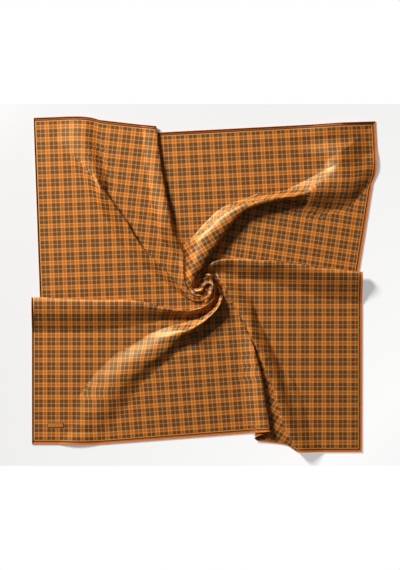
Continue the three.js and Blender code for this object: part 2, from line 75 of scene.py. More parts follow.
# One fold follows each sector, clockwise. Faces is on where the fold's edge faces
# clockwise, and near is the cloth's bearing in degrees where the edge is looked for.
# Rows run inward from the hem, by distance from the pinch. Bearing is the direction of
# the fold's edge in degrees; behind the edge lie the crest, the shoulder and the place
# where the cloth leaves the surface, and the apron is the cloth before it. Soft is 1 for
# a rounded ridge, which falls to the surface within `front`, and 0 for an edge with
# cloth tucked under it. Tucked is the share of the spare cloth under a second edge.
COLUMNS = ["radius", "bearing", "height", "crest", "shoulder", "back", "apron", "soft", "front"]
SECOND_COLUMNS = ["radius", "bearing", "height", "crest", "shoulder", "back", "tucked"]
FOLDS = [
    {"name": "north_west_dart", "faces": "on", "near": 135, "rows": [
        [511, 126.0, 8, 12, 26, 50, 50, 1.0, 42],
        [469, 129.5, 15, 12, 34, 66, 50, 1.0, 40],
        [424, 132.4, 18, 10, 32, 62, 48, 1.0, 38],
        [387, 134.5, 18, 9, 30, 58, 46, 0.9, 36],
        [343, 137.0, 17, 7, 24, 48, 44, 0.6, 34],
        [296, 138.0, 15, 6, 22, 44, 40, 0.2, 30],
        [242, 140.5, 13, 5, 20, 40, 36, 0.0, 26],
        [168, 149.1, 10, 5, 18, 34, 30, 0.0, 20],
        [122, 153.0, 9, 4, 14, 26, 24, 0.0, 14],
        [88, 162.0, 9, 3, 10, 18, 18, 0.0, 12],
        [59, 177.6, 10, 3, 8, 12, 12, 0.0, 8],
        [49, 197.0, 12, 3, 6, 10, 10, 0.0, 8],
        [44, 222.0, 12, 3, 6, 10, 10, 0.0, 8],
        [37, 247.0, 12, 3, 6, 10, 10, 0.0, 8],
        [26, 285.0, 12, 3, 6, 10, 10, 0.0, 8],
        [10, 335.0, 12, 3, 6, 10, 10, 0.0, 8],
    ]},
    {"name": "north_pleat", "faces": "on", "near": 105, "rows": [
        [406, 106.7, 9, 12, 42, 28, 36, 0, 30],
        [330, 109.1, 11, 12, 42, 30, 36, 0, 30],
        [265, 111.8, 13, 12, 40, 34, 36, 0, 30],
        [207, 115.3, 16, 10, 34, 36, 34, 0.2, 28],
        [150, 121.6, 12, 8, 24, 30, 30, 0.6, 24],
        [111, 122.2, 8, 5, 16, 20, 24, 0.8, 12],
        [94, 123.0, 6, 4, 10, 14, 18, 0.8, 12],
        [63, 138.0, 6, 3, 8, 12, 12, 0.8, 10],
        [49, 162.0, 6, 3, 8, 12, 12, 0.8, 10],
        [38, 190.0, 6, 3, 8, 12, 12, 0.8, 10],
        [24, 244.0, 6, 3, 8, 12, 12, 0.8, 10],
        [10, 300.0, 6, 3, 8, 12, 12, 0.8, 10],
    ]},
    {"name": "north_east_dart", "faces": "on", "near": 35, "rows": [
        [508, 35.4, 2, 10, 22, 40, 44, 1.0, 40],
        [442, 33.6, 6, 12, 28, 55, 60, 1.0, 54],
        [400, 37.0, 11, 12, 30, 60, 66, 1.0, 60],
        [363, 40.0, 14, 12, 30, 60, 66, 0.9, 60],
        [303, 46.5, 18, 10, 28, 56, 58, 0.75, 50],
        [251, 55.4, 21, 14, 28, 48, 46, 0.4, 36],
        [212, 63.1, 23, 20, 34, 50, 34, 0, 26],
        [150, 68.9, 24, 36, 48, 60, 26, 0, 18],
        [105, 75.0, 24, 50, 60, 68, 18, 0, 12],
        [67, 85.8, 24, 44, 52, 58, 12, 0, 8],
        [47, 89.0, 22, 4, 12, 20, 12, 0, 10],
        [35, 106.0, 18, 4, 12, 20, 12, 0, 10],
        [25, 145.0, 14, 4, 12, 20, 12, 0, 10],
        [10, 220.0, 12, 4, 12, 20, 12, 0, 10],
    ]},
    {"name": "east_pleat", "faces": "back", "near": 3, "rows": [
        [383, 4.8, 22, 9, 34, 72, 50, 0, 30],
        [290, 8.3, 21, 9, 32, 68, 48, 0, 30],
        [221, 14.2, 20, 8, 28, 60, 44, 0, 28],
        [146, 24.4, 20, 7, 22, 44, 34, 0, 22],
        [100, 40.4, 15, 10, 26, 44, 24, 0, 14],
        [65, 70.2, 13, 8, 22, 36, 16, 0, 12],
        [47, 84.0, 13, 6, 16, 26, 12, 0, 10],
        [35, 101.0, 18, 4, 12, 20, 12, 0, 10],
        [25, 138.0, 14, 4, 12, 20, 12, 0, 10],
        [10, 214.0, 12, 4, 12, 20, 12, 0, 10],
    ]},
    {"name": "south_pleat", "faces": "on", "near": -55, "rows": [
        [398, -59.9, 17, 9, 30, 58, 50, 0, 30],
        [335, -57.0, 17, 9, 30, 58, 46, 0, 30],
        [248, -52.7, 18, 8, 28, 54, 40, 0, 28],
        [165, -45.6, 20, 7, 22, 42, 32, 0, 22],
        [131, -41.2, 15, 16, 36, 56, 26, 0, 18],
        [94, -33.3, 12, 16, 34, 50, 20, 0, 14],
        [68, -19.1, 12, 14, 28, 40, 16, 0, 12],
        [47, -3.0, 12, 10, 20, 30, 12, 0, 10],
        [40, 20.0, 18, 4, 12, 20, 12, 0, 10],
        [33, 50.0, 16, 4, 12, 20, 12, 0, 10],
        [25, 90.0, 14, 4, 12, 20, 12, 0, 10],
        [10, 170.0, 12, 4, 12, 20, 12, 0, 10],
    ], "second": [
        [389, -65.8, 14, 8, 24, 46, 1.0],
        [315, -62.0, 13, 8, 24, 44, 0.7],
        [224, -54.4, 8, 6, 16, 34, 0.3],
        [178, -48.8, 3, 4, 10, 22, 0],
        [131, -43.5, 1, 3, 8, 16, 0],
        [94, -35.0, 1, 3, 8, 16, 0],
        [10, -35.0, 1, 3, 8, 16, 0],
    ]},
    {"name": "south_west_dart", "faces": "back", "near": -128, "rows": [
        [430, -129.0, 2, 14, 30, 46, 70, 1.0, 62],
        [369, -130.4, 7, 16, 40, 70, 70, 1.0, 64],
        [314, -131.8, 13, 16, 40, 70, 66, 1.0, 60],
        [241, -130.0, 15, 16, 40, 66, 60, 1.0, 56],
        [157, -122.2, 16, 14, 32, 52, 44, 1.0, 40],
        [121, -114.0, 18, 10, 24, 40, 34, 0.7, 28],
        [81, -90.0, 20, 5, 14, 26, 22, 0.2, 16],
        [57, -54.6, 20, 4, 12, 20, 14, 0, 10],
        [50, -25.0, 18, 4, 12, 20, 14, 0, 10],
        [42, 2.0, 18, 4, 12, 20, 14, 0, 10],
        [33, 36.0, 16, 4, 12, 20, 14, 0, 10],
        [25, 76.0, 14, 4, 12, 20, 14, 0, 10],
        [10, 158.0, 12, 4, 12, 20, 14, 0, 10],
    ]},
    {"name": "west_pleat", "faces": "on", "near": -178, "rows": [
        [404, 183.8, 16, 30, 52, 80, 40, 0, 30],
        [297, 186.2, 16, 28, 48, 76, 38, 0, 30],
        [190, 189.7, 17, 20, 38, 64, 34, 0, 26],
        [143, 196.0, 18, 12, 28, 50, 30, 0, 22],
        [100, 212.0, 18, 8, 20, 36, 24, 0, 16],
        [80, 225.0, 18, 6, 14, 28, 20, 0, 14],
        [54, 254.0, 18, 4, 12, 20, 14, 0, 10],
        [42, 277.0, 16, 4, 12, 20, 14, 0, 10],
        [32, 312.0, 16, 4, 12, 20, 14, 0, 10],
        [26, 350.0, 14, 4, 12, 20, 14, 0, 10],
        [10, 430.0, 12, 4, 12, 20, 14, 0, 10],
    ]},
]

# Cloth tucked under an edge: how high it lies, how wide it turns, the depth at which it
# has both in full, and how far apart its guides lie before that
UNDERFOLD_HEIGHT = 5.5
UNDERFOLD_TURN = 4.0
UNDERFOLD_FULL_DEPTH = 24.0
UNTUCKED_SPACING = 6.0
# Most of both in a low fold, as shares of its height
LOW_HEIGHT = 0.4
LOW_TURN = 0.3
# Height from which the cloth under a second edge has both in full
SECOND_FULL_HEIGHT = 8.0

# Guides of a section, as shares of its height: up the back and round the edge
SHOULDER_UP = 0.55
CREST_UP = 1.04
EDGE_OUT = 0.28
EDGE_UP = 1.02
UNDERCUT_OUT = 0.2
UNDERCUT_UP = 0.36
# Guides of a rounded front, as shares of the crest's width, and of the front's width and
# the height
ROUND_CREST = 0.8
ROUND_FRONT = [(0.45, 0.62), (0.75, 0.16), (0.9, 0.0), (1.0, 0.0), (1.06, 0.0)]

# How far a fold goes to take up its cloth: where its foot starts, how deep the foot may
# go, how much higher a soft ridge may get, and the same in millimetres for a second edge
OPEN_FOOT = 0.55
DEEPEST_FOOT = 0.5
SOFT_SWELL = 0.5
SECOND_OPEN_FOOT = 12.0
SECOND_DEEPEST = 60.0
# Flat cloth kept behind a fold, and the least length of its cloth in spans
REACH_MARGIN = 4.0
LEAST_SLACK = 1.0005

# Fineness of the cloth
CORE_RINGS = 56
OPEN_RINGS = 100
SECTOR_STEPS = 9
FOLD_STEPS = 4

# Fineness of the working: tables in millimetres, sweeps and jumps in radians
TABLE_STEP = 2.0
TABLE_RADII = np.arange(0.0, 700.0, TABLE_STEP)
SMOOTHING = 9.0
SMOOTHING_STEPS = 20
RING_SWEEP = 2.4
RING_SAMPLES = 241
EDGE_SWEEP = 1.8
EDGE_SAMPLES = 145
SEAM_JUMP = 2.0
EDGE_HALVINGS = 20
FOLD_HALVINGS = 18
SECTION_SAMPLES = 97
# About how much further round the next fold lies, to bring its angle into the same turn
ONWARD = math.pi / 4
# Usual turn from one fold to the next, in degrees
ARM_STEP = 50

# The rolled hem: radius of the roll, how far round it curls in degrees, and how far down
# its upper side may face before it counts as turned over
HEM_ROLL = 1.2
HEM_STEPS = 7
HEM_CURL = (40, 300)
HEM_TURNED_OVER = -0.6


def ease(value):
    share = np.clip(value, 0.0, 1.0)
    return share * share * (3 - 2 * share)


def mix(a, b, share):
    return a + (b - a) * share


def near_to(angle, target):
    turn = 2 * np.pi
    return angle - turn * np.round((angle - target) / turn)


def unit(vectors):
    return vectors / np.maximum(np.linalg.norm(vectors, axis=-1, keepdims=True), 1e-9)


def solve(low, high, wanted, value_at, halvings=FOLD_HALVINGS):
    """Where a rising value reaches the wanted one"""
    for _ in range(halvings):
        half = (low + high) / 2
        if value_at(half) < wanted:
            low = half
        else:
            high = half
    return (low + high) / 2


def smoothed(rows, index):
    """A column of a fold's table at every step of the radius, with its kinks rounded"""
    ordered = sorted(rows)
    values = np.interp(TABLE_RADII, [row[0] for row in ordered], [row[index] for row in ordered])
    steps = np.arange(-SMOOTHING_STEPS, SMOOTHING_STEPS + 1)
    kernel = np.exp(-((steps * TABLE_STEP / SMOOTHING) ** 2) / 2)
    kernel /= kernel.sum()
    return np.convolve(np.pad(values, SMOOTHING_STEPS, mode="edge"), kernel, mode="valid")


def tabled(rows, columns):
    return {name: smoothed(rows, i) for i, name in enumerate(columns) if i > 0}


def row_at(table, radius):
    return {name: np.interp(radius, TABLE_RADII, values) for name, values in table.items()}


def cloth_point(ring, angle):
    """A ring of the flat cloth is a circle near the middle and the square at the hem"""
    c, s = np.cos(angle), np.sin(angle)
    square = 1 / np.maximum(np.abs(c), np.abs(s))
    squareness = ease((ring - ROUND_UNTIL) / (1 - ROUND_UNTIL))
    radius = HALF * ring * mix(1.0, square, squareness)
    return np.stack([radius * c, radius * s], axis=-1)


def ring_angles(ring, start, way, lengths):
    """Angles at these lengths of cloth along a ring, anticlockwise where way is 1"""
    angles = start + way * np.linspace(0, RING_SWEEP, RING_SAMPLES)
    steps = np.linalg.norm(np.diff(cloth_point(ring, angles), axis=0), axis=1)
    return np.interp(lengths, np.concatenate([[0.0], np.cumsum(steps)]), angles)


def length_of(points):
    return float(np.linalg.norm(np.diff(points, axis=0), axis=1).sum())


def ring_length(ring, start, end):
    return length_of(cloth_point(ring, np.linspace(start, end, 11)))


def laid(sector, points):
    turn = math.radians(sector["turn"])
    c, s = math.cos(turn), math.sin(turn)
    x, y = points[..., 0], points[..., 1]
    return np.stack([sector["x"] + c * x - s * y, sector["y"] + s * x + c * y], axis=-1)


def from_pinch(points):
    away = points - PINCH
    return np.hypot(away[..., 0], away[..., 1]), np.arctan2(away[..., 1], away[..., 0])


def edge_angle(ring, sector, table, near):
    """Cloth angle at which a laid sector's ring meets the edge of a fold"""
    middle = math.radians(near)

    def past(angles):
        radius, bearing = from_pinch(laid(sector, cloth_point(ring, angles)))
        edge = np.radians(np.interp(radius, TABLE_RADII, table["bearing"]))
        return near_to(bearing - edge, 0.0)

    angles = middle + np.linspace(-EDGE_SWEEP, EDGE_SWEEP, EDGE_SAMPLES)
    away = past(angles)
    # A jump over the seam, half a turn from the edge, is no crossing
    crossing = (away[:-1] <= 0) & (away[1:] > 0) & (np.diff(away) < SEAM_JUMP)
    found = np.flatnonzero(crossing)
    first = found[np.argmin(np.abs(angles[found] - middle))]
    return solve(angles[first], angles[first + 1], 0, past, EDGE_HALVINGS)


def section_points(guides, places):
    """Points of a clamped cubic B-spline through a section's guide points"""
    last = len(guides) - 1
    span = np.minimum(np.floor(places).astype(int), last + 1)
    f = (places - span)[:, None]
    weights = [
        (1 - f) ** 3 / 6,
        (3 * f ** 3 - 6 * f ** 2 + 4) / 6,
        (-3 * f ** 3 + 3 * f ** 2 + 3 * f + 1) / 6,
        f ** 3 / 6,
    ]
    return sum(w * guides[np.clip(span + i - 2, 0, last)] for i, w in enumerate(weights))


def section_length(guides):
    return length_of(section_points(guides, np.linspace(0, len(guides) + 1, SECTION_SAMPLES)))


def fold_guides(span, edge, shape, height, foot, depth):
    """Section of a fold: up its back, over the crest, round the edge, under it to
    the foot and on; or down a rounded front where it is soft"""
    tucked = float(ease(depth / UNDERFOLD_FULL_DEPTH))
    lift = min(UNDERFOLD_HEIGHT, height * LOW_HEIGHT) * tucked
    turn = min(UNDERFOLD_TURN, height * LOW_TURN) * tucked
    slack = UNTUCKED_SPACING * (1 - tucked)
    sharp = np.array([
        [edge + height * EDGE_OUT, height * EDGE_UP],
        [edge + height * UNDERCUT_OUT, height * UNDERCUT_UP],
        [foot + turn - slack, lift],
        [foot - turn, lift],
        [foot - turn + slack, 0],
        [foot + (turn + slack) * 2, 0],
    ])
    rounded = np.array([
        [edge + shape["crest"] * ROUND_CREST, height * EDGE_UP],
        *[[edge + shape["front"] * out, height * up] for out, up in ROUND_FRONT],
    ])
    back = [
        [0, 0],
        [edge - shape["back"], 0],
        [edge - shape["shoulder"], height * SHOULDER_UP],
        [edge - shape["crest"], height * CREST_UP],
    ]
    return np.vstack([back, mix(sharp, rounded, shape["soft"]), [[span, 0]]])


def double_guides(span, edge, shape, foot, depth, second_edge, second, second_foot):
    """The same with a second edge, which faces back and has its own foot"""
    first_part = fold_guides(span, edge, shape, shape["height"], foot, depth)[:-1]
    height = second["height"]
    size = min(1.0, height / SECOND_FULL_HEIGHT)
    lift = UNDERFOLD_HEIGHT * size
    turn = UNDERFOLD_TURN * size
    slack = UNTUCKED_SPACING * (1 - size)
    return np.vstack([first_part, [
        [second_foot + turn - slack * 3, 0],
        [second_foot + turn - slack * 2, lift],
        [second_foot - turn - slack, lift],
        [second_edge - height * UNDERCUT_OUT, height * UNDERCUT_UP],
        [second_edge - height * EDGE_OUT, height * EDGE_UP],
        [second_edge + second["crest"], height * CREST_UP],
        [second_edge + second["shoulder"], height * SHOULDER_UP],
        [second_edge + second["back"], 0],
        [span, 0],
    ]])


def fitted_fold(span, edge, shape, need):
    """A fold is as high or as deep as the cloth that it has to take up"""
    open_foot = edge + OPEN_FOOT * (span - edge)
    deepest = edge - DEEPEST_FOOT * (shape["back"] + shape["crest"])
    highest = shape["height"] * (1 + SOFT_SWELL * shape["soft"])

    def swell(height):
        return fold_guides(span, edge, shape, height, open_foot, 0)

    def tuck(depth):
        return fold_guides(span, edge, shape, highest, open_foot - depth, depth)

    if section_length(swell(highest)) >= need:
        return swell(solve(0, highest, need, lambda h: section_length(swell(h))))
    return tuck(solve(0, open_foot - deepest, need, lambda d: section_length(tuck(d))))


def fitted_double(span, edge, shape, second_edge, second, need):
    """A fold with two edges is as deep as the cloth that it has to take up"""
    open_foot = edge + SECOND_OPEN_FOOT

    def tuck(depth):
        first = depth * (1 - second["tucked"])
        return double_guides(
            span, edge, shape, open_foot - first, first,
            second_edge, second, second_edge + depth * second["tucked"],
        )

    return tuck(solve(0, SECOND_DEEPEST, need, lambda d: section_length(tuck(d))))


for fold in FOLDS:
    fold["table"] = tabled(fold["rows"], COLUMNS)
    fold["second_table"] = tabled(fold["second"], SECOND_COLUMNS) if "second" in fold else None


def edges_on_ring(ring):
    """Cloth angles at which a ring meets each fold's edge, in the sectors beside it"""
    edges = []
    for i, fold in enumerate(FOLDS):
        after = SECTORS[(i + 1) % len(SECTORS)]
        edges.append((
            edge_angle(ring, SECTORS[i], fold["table"], fold["near"]),
            edge_angle(ring, after, fold["second_table"] or fold["table"], fold["near"]),
        ))
    return edges


def narrowed(shape, names, share):
    return {name: value * share if name in names else value for name, value in shape.items()}


def asked_cloth(ring, fold, before, edge_before):
    """A fold's shape on a ring, and the cloth that it asks for before and after its edge"""
    radius = float(from_pinch(laid(before, cloth_point(ring, edge_before)))[0])
    shape = row_at(fold["table"], radius)
    second = row_at(fold["second_table"], radius) if fold["second_table"] else None
    behind = max(shape["back"], shape["shoulder"]) + REACH_MARGIN
    beyond = second["back"] + REACH_MARGIN if second else shape["apron"]
    asked_before, asked_after = (behind, beyond) if fold["faces"] == "on" else (beyond, behind)
    return {
        "radius": radius, "shape": shape, "second": second,
        "before": asked_before, "after": asked_after,
    }


def fold_on_ring(ring, fold, before, after, edges, asked, shares):
    """Where a ring enters and leaves a fold, and its section there"""
    edge_before, edge_after = edges
    shape, second = asked["shape"], asked["second"]
    faces_on = fold["faces"] == "on"
    behind_share, front_share = shares if faces_on else shares[::-1]
    shape = narrowed(shape, ("crest", "shoulder", "back"), behind_share)
    hollow = 0.0
    if second:
        second = narrowed(second, ("crest", "shoulder", "back"), front_share)
        hollow = asked["radius"] * max(0.0, math.radians(shape["bearing"] - second["bearing"]))
    else:
        shape = narrowed(shape, ("apron", "front"), front_share)
    start = ring_angles(ring, edge_before, 1, asked["before"] * shares[0])
    end = ring_angles(ring, edge_after, -1, asked["after"] * shares[1])
    up_to = ring_length(ring, start, edge_before)
    onward = ring_length(ring, edge_after, end)
    span = up_to + hollow + onward
    apart = cloth_point(ring, edge_after) - cloth_point(ring, edge_before)
    spare = float(np.linalg.norm(apart)) * (1 - SOFT_GATHER * shape["soft"])
    need = max(up_to + spare + onward, span * LEAST_SLACK)
    if second:
        guides = fitted_double(span, up_to, shape, up_to + hollow, second, need)
    else:
        guides = fitted_fold(span, up_to if faces_on else onward, shape, need)
    return {
        "faces_on": faces_on, "double": second is not None, "before": before, "after": after,
        "start": start, "end": end, "span": span, "guides": guides, "soft": shape["soft"],
    }


# Places along the guides of a section: its end, its edge, its foot and its second edge
FOLD_PLACES = 12
DOUBLE_PLACES = 20
EDGE_PLACE = 6.0
FOOT_PLACE = 9.0
SECOND_EDGE_PLACE = 15.5


def fold_places(double):
    """Places along a section, and how far the cloth has passed under its edge at each"""
    last, passed = (DOUBLE_PLACES, SECOND_EDGE_PLACE) if double else (FOLD_PLACES, FOOT_PLACE)
    places = np.linspace(0, last, last * FOLD_STEPS + 1)
    return places, ease((places - EDGE_PLACE) / (passed - EDGE_PLACE))


def fold_points(ring, fold):
    """The cloth's way across one fold, clockwise"""
    places, under = fold_places(fold["double"])
    spots = section_points(fold["guides"], places)
    under = mix(under, ease((places - 1) / (places[-1] - 2)), fold["soft"])
    if fold["faces_on"]:
        across, up, share = spots[:, 0], spots[:, 1], under
    else:
        across, up, share = fold["span"] - spots[::-1, 0], spots[::-1, 1], 1 - under[::-1]
    run = np.concatenate([[0.0], np.cumsum(np.hypot(np.diff(across), np.diff(up)))])
    angle_before = ring_angles(ring, fold["start"], -1, across)
    angle_after = ring_angles(ring, fold["end"], 1, fold["span"] - across)
    on_before = laid(fold["before"], cloth_point(ring, angle_before))
    on_after = laid(fold["after"], cloth_point(ring, angle_after))
    plan = mix(on_before, on_after, share[:, None])
    flat_length = ring_length(ring, fold["start"], fold["end"])
    gained = run + (flat_length - run[-1]) * ease(run / run[-1])
    cloth = cloth_point(ring, ring_angles(ring, fold["start"], -1, gained))
    return np.column_stack([plan, up, cloth])


def folds_on_ring(ring):
    edges = edges_on_ring(ring)
    asked = [asked_cloth(ring, fold, SECTORS[i], edges[i][0]) for i, fold in enumerate(FOLDS)]
    shares = []
    for i in range(len(FOLDS)):
        enters = edges[i - 1][1]
        room = ring_length(ring, enters, near_to(edges[i][0], enters - ONWARD))
        shares.append(min(1.0, WIDEST_REACH * room / (asked[i - 1]["after"] + asked[i]["before"])))
    found = []
    for i, fold in enumerate(FOLDS):
        following = (i + 1) % len(FOLDS)
        found.append(fold_on_ring(
            ring, fold, SECTORS[i], SECTORS[following], edges[i], asked[i],
            (shares[i], shares[following]),
        ))
    return found


def sector_range(fold, next_fold):
    return fold["end"], near_to(next_fold["start"], fold["end"] - ONWARD)


def corner_shares():
    """Share of a sector's width at which the square has its corner"""
    hem = folds_on_ring(1.0)
    shares = []
    for i, sector in enumerate(SECTORS):
        if sector["corner"] is None:
            shares.append(None)
            continue
        start, end = sector_range(hem[i - 1], hem[i])
        corner = near_to(math.radians(sector["corner"]), start)
        shares.append((corner - start) / (end - start))
    return shares


CORNERS = corner_shares()


def sector_points(ring, number, fold, next_fold):
    corner = CORNERS[number]
    stops = [0, 1] if corner is None else [0, corner, 1]
    shares = np.concatenate([
        np.linspace(a, b, SECTOR_STEPS + 1)[1:] for a, b in zip(stops[:-1], stops[1:])
    ])[:-1]
    start, end = sector_range(fold, next_fold)
    cloth = cloth_point(ring, mix(start, end, shares))
    plan = laid(SECTORS[number], cloth)
    return np.column_stack([plan, np.zeros(len(shares)), cloth])


def open_ring(ring):
    folds = folds_on_ring(ring)
    parts = []
    for i, fold in enumerate(folds):
        following = (i + 1) % len(folds)
        parts.append(fold_points(ring, fold))
        parts.append(sector_points(ring, following, fold, folds[following]))
    return np.vstack(parts)


def fading(share, limits):
    """1 at the first limit, and 0 at the second and below it"""
    full, gone = limits
    return float(ease((share - gone) / (full - gone)))


def sector_steps(number):
    """A sector with a corner of the square has steps on both sides of it"""
    return SECTOR_STEPS * (1 if SECTORS[number]["corner"] is None else 2)


def edge_columns():
    """The column that runs along each fold's edge, and the number of columns"""
    columns = []
    first = 0
    for i, fold in enumerate(FOLDS):
        last = DOUBLE_PLACES if "second" in fold else FOLD_PLACES
        place = EDGE_PLACE if fold["faces"] == "on" else last - EDGE_PLACE
        columns.append(first + int(place * FOLD_STEPS))
        first += last * FOLD_STEPS + sector_steps((i + 1) % len(SECTORS))
    return columns, first


EDGE_COLUMNS, COLUMN_COUNT = edge_columns()
# The columns from each fold's edge up to the next one's
EDGE_SPANS = [
    np.arange(first, last) % COLUMN_COUNT
    for first, last in zip(EDGE_COLUMNS, EDGE_COLUMNS[1:] + [EDGE_COLUMNS[0] + COLUMN_COUNT])
]


def arm_bearings(radii):
    """Bearing of every arm, which is the line of a fold's edge, at these distances:
    clockwise, with the first arm once more at the end"""
    arms = []
    for fold in FOLDS:
        bearing = np.interp(radii, TABLE_RADII, fold["table"]["bearing"])
        if arms:
            bearing = bearing - 360 * np.round((bearing - arms[-1] + ARM_STEP) / 360)
            bearing = np.minimum(bearing, arms[-1])
        arms.append(bearing)
    arms.append(arms[0] - 360)
    return np.radians(np.stack(arms))


def arm_shares(angles, radii):
    """Where every column of a ring lies between the arm before and the arm after it"""
    arms = arm_bearings(radii)
    shares = np.empty(COLUMN_COUNT)
    for i, columns in enumerate(EDGE_SPANS):
        before, after = arms[i, columns], arms[i + 1, columns]
        away = near_to(angles[columns], (before + after) / 2)
        shares[columns] = (away - before) / (after - before)
    return shares


def in_order(shares):
    """The same without overlaps: no column lies before the one that it follows"""
    ordered = shares.copy()
    for i, columns in enumerate(EDGE_SPANS):
        kept = np.clip(shares[columns], 0, 1)
        ordered[columns] = np.maximum.accumulate(kept)
        if FOLDS[(i + 1) % len(FOLDS)]["faces"] == "back":
            ordered[columns] = np.minimum(ordered[columns], np.minimum.accumulate(kept[::-1])[::-1])
    return ordered


def core_ring(share, rim):
    """A ring of the rosette: the innermost open ring drawn in along the arms"""
    radii, angles = from_pinch(rim[:, :2])
    overlapping = arm_shares(angles, radii)
    place = mix(in_order(overlapping), overlapping, fading(share, CORE_UNFOLDS))
    radius = mix(radii.mean(), radii, float(ease(share))) * share
    arms = arm_bearings(radius)
    turned = np.empty(COLUMN_COUNT)
    for i, columns in enumerate(EDGE_SPANS):
        turned[columns] = mix(arms[i, columns], arms[i + 1, columns], place[columns])
    plan = PINCH + radius[:, None] * np.column_stack([np.cos(turned), np.sin(turned)])
    height = rim[:, 2] * mix(CORE_HEIGHT_LEFT, 1.0, fading(share, CORE_FLATTENS))
    return np.column_stack([plan, height, rim[:, 3:]])


# Ridges and troughs that no fold makes, as lines in the laid scarf: place, height
# (below 0 for a trough) and how far to the left and right of the line it reaches. Sharp
# is 0 for a round top and 1 for a crease
STROKE_COLUMNS = ["x", "y", "height", "left", "right"]
STROKES = [
    {"name": "ridge_to_top_hem", "sharp": 0.1, "rows": [
        [246, 250, 0, 40, 60],
        [290, 252, 3, 40, 74],
        [322, 270, 7, 36, 84],
        [334, 300, 14, 34, 84],
        [334, 345, 17, 34, 80],
        [327, 410, 14, 36, 60],
    ]},
    {"name": "north_west_crease", "sharp": 1.0, "rows": [
        [-272, 230, 0, 12, 4],
        [-234, 143, 2.5, 13, 4],
        [-190, 76, 3, 13, 4],
        [-165, 40, 3, 12, 4],
        [-132, 7, 3, 10, 4],
        [-100, -8, 0, 8, 4],
    ]},
    {"name": "south_west_crease", "sharp": 1.0, "rows": [
        [40, -100, 0, 10, 5],
        [6, -132, 3, 12, 5],
        [-20, -163, 3, 12, 5],
        [-62, -195, 0, 12, 5],
    ]},
    {"name": "south_east_valley", "sharp": 0.0, "rows": [
        [112, -25, 0, 14, 14],
        [150, -92, -4, 16, 16],
        [182, -173, -5, 18, 18],
        [200, -237, -5, 18, 18],
        [214, -286, -4, 18, 18],
        [224, -350, 0, 16, 16],
    ]},
    {"name": "petal", "sharp": 0.6, "rows": [
        [5, 30, 4, 10, 6],
        [17, 18, 12, 14, 8],
        [23, 0, 14, 16, 8],
        [17, -22, 13, 14, 8],
        [6, -42, 6, 12, 8],
    ]},
    {"name": "gap", "sharp": 0.3, "rows": [
        [-2, 34, -12, 5, 5],
        [14, 36, -26, 6, 6],
        [28, 22, -26, 5, 6],
        [40, 0, -26, 5, 6],
        [46, -18, -22, 5, 6],
        [42, -38, -8, 4, 5],
    ]},
    {"name": "dark_core", "sharp": 0.2, "rows": [
        [-32, -10, -4, 12, 12],
        [-18, -4, -14, 14, 14],
        [-8, 6, -18, 13, 10],
        [-2, 20, -12, 10, 7],
    ]},
]


STROKE_STEP = 3.0
STROKE_SMOOTHINGS = 6


def dense(rows):
    """A stroke's rows at even steps along its line, with the kinks of the line rounded"""
    table = np.array(rows, dtype=float)
    run = np.concatenate([[0.0], np.cumsum(np.hypot(np.diff(table[:, 0]), np.diff(table[:, 1])))])
    wanted = np.linspace(0, run[-1], int(run[-1] / STROKE_STEP) + 2)
    line = np.column_stack([np.interp(wanted, run, column) for column in table.T])
    for _ in range(STROKE_SMOOTHINGS):
        line[1:-1, :2] = (line[:-2, :2] + 2 * line[1:-1, :2] + line[2:, :2]) / 4
    return line


def stroked(points):
    """The cloth raised or sunk along each stroke"""
    flat = points.reshape(-1, points.shape[-1])
    for stroke in STROKES:
        line = dense(stroke["rows"])
        place = line[:, :2]
        height, left, right = (
            line[:, STROKE_COLUMNS.index(name)] for name in ("height", "left", "right")
        )
        ahead = unit(np.gradient(place, axis=0))
        widest = max(left.max(), right.max())
        low = place.min(axis=0) - widest
        high = place.max(axis=0) + widest
        chosen = np.flatnonzero(np.all((flat[:, :2] > low) & (flat[:, :2] < high), axis=1))
        away = flat[chosen, None, :2] - place[None]
        nearest = np.argmin((away ** 2).sum(axis=2), axis=1)
        off = away[np.arange(len(chosen)), nearest]
        side = ahead[nearest, 0] * off[:, 1] - ahead[nearest, 1] * off[:, 0]
        reach = np.where(side > 0, left[nearest], right[nearest])
        part = np.minimum(np.hypot(off[:, 0], off[:, 1]) / reach, 1)
        profile = mix((1 - part ** 2) ** 2, (1 - part) ** 2, stroke["sharp"])
        flat[chosen, 2] += height[nearest] * profile
    flat[:, 2] = np.maximum(flat[:, 2], CLOTH_LIFT)
    return points


def domed(points):
    """The cloth lifted a little off the surface, and more about the pinch"""
    radius, _ = from_pinch(points[..., :2])
    points[..., 2] += DOME_HEIGHT * np.exp(-((radius / DOME_REACH) ** 2)) + CLOTH_LIFT
    return points


def column_turns():
    """How far each column's cloth is turned in the plan, in degrees"""
    turns = []
    for i, fold in enumerate(FOLDS):
        _, under = fold_places("second" in fold)
        under = under if fold["faces"] == "on" else 1 - under[::-1]
        following = (i + 1) % len(SECTORS)
        turns.append(mix(SECTORS[i]["turn"], SECTORS[following]["turn"], under))
        turns.append(np.full(sector_steps(following) - 1, SECTORS[following]["turn"]))
    return np.concatenate(turns)


# The tube of cloth that the north east fold rolls over near the pinch: bearing of its
# upper crease by distance, how far its check is turned, and where it keeps its place
TUBE_CREASE = [(24, 244), (38, 190), (49, 162), (63, 138), (94, 123), (111, 122), (124, 103),
               (145, 88), (179, 78), (206, 70.5), (232, 64.5), (252, 58)]
TUBE_TURN = 31.0
TUBE_MIDDLE = (-18.0, 92.0)
TUBE_INNER = 22.0

# The layer that shows between the south pleat's two edges: how far its check is turned,
# the place that it is turned about, and how far in and how near the edges it begins
LAYER_TURN = -32.0
LAYER_MIDDLE = (165.0, -300.0)
LAYER_INNER = 190.0
LAYER_MARGIN = 2


def named(table, name):
    """Number of the sector or fold with this name"""
    return [entry["name"] for entry in table].index(name)


